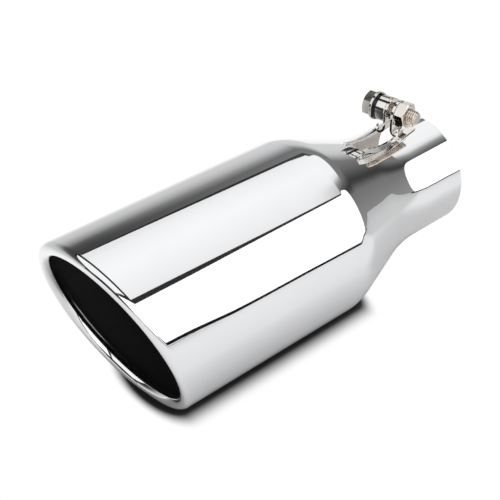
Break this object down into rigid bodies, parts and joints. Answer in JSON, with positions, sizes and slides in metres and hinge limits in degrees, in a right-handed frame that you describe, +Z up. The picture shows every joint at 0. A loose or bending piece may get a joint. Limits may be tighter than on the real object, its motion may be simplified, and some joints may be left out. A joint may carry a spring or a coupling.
{
  "type": "exhaust tip",
  "caption": "Bolt-on exhaust tip in polished stainless sheet: round body with a slanted rolled mouth, a cone and a slotted neck with a screw clamp.",
  "frame": {"origin": "centre of the inlet's end face, on the axis of the neck", "axes": "+Y out of the inlet along the tip's axis, so the mouth is toward -Y; +Z up, with the clamp on top"},
  "size_m": [0.1016, 0.231, 0.1028],
  "materials": {
    "polished_stainless": "mirror polished",
    "pressed_stainless": "bright pressed sheet",
    "zinc_hardware": "bright plated, with a fine cut thread",
    "spring_steel": "dark oiled"
  },
  "bodies": {
    "root": {"tip_shell": "polished_stainless", "sleeve_ear": "pressed_stainless", "nut_ear": "pressed_stainless", "clamp_bolt": "zinc_hardware", "flat_washer": "zinc_hardware", "spring_washer": "spring_steel", "spacer_sleeve": "pressed_stainless", "clamp_nut": "zinc_hardware"}
  },
  "joints": []
}
